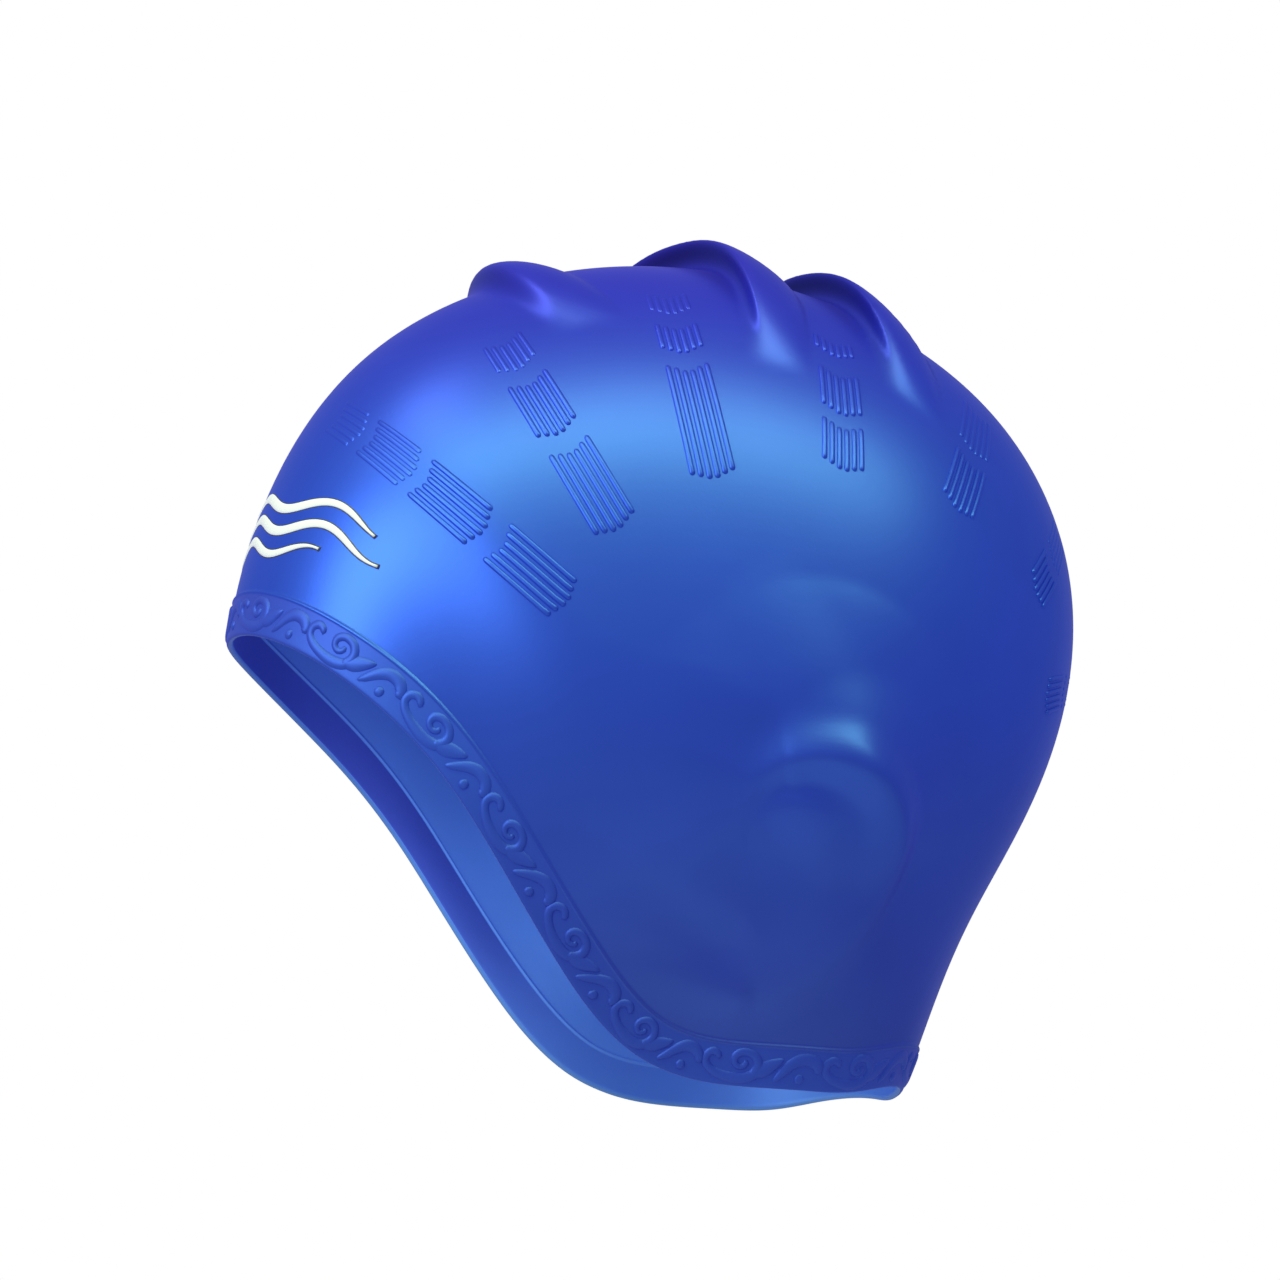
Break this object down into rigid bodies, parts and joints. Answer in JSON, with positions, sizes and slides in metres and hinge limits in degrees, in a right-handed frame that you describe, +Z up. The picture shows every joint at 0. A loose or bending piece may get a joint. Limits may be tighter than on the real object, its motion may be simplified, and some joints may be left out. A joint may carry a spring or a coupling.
{
  "type": "swim cap",
  "caption": "Moulded silicone swim cap for long hair, shaped as worn, with raised folds over the crown, domed ear pockets and a thicker hem round the open face and neck.",
  "frame": {"origin": "top of the head, where the inside of the crown rests between the folds; a head holds the cap there", "axes": "+Z up, the face towards -Y, the wearer's left ear at +X"},
  "size_m": [0.1565, 0.2038, 0.208],
  "materials": {
    "silicone": "satin pearl moulded silicone"
  },
  "bodies": {
    "root": {"cap_shell": "silicone"}
  },
  "joints": []
}
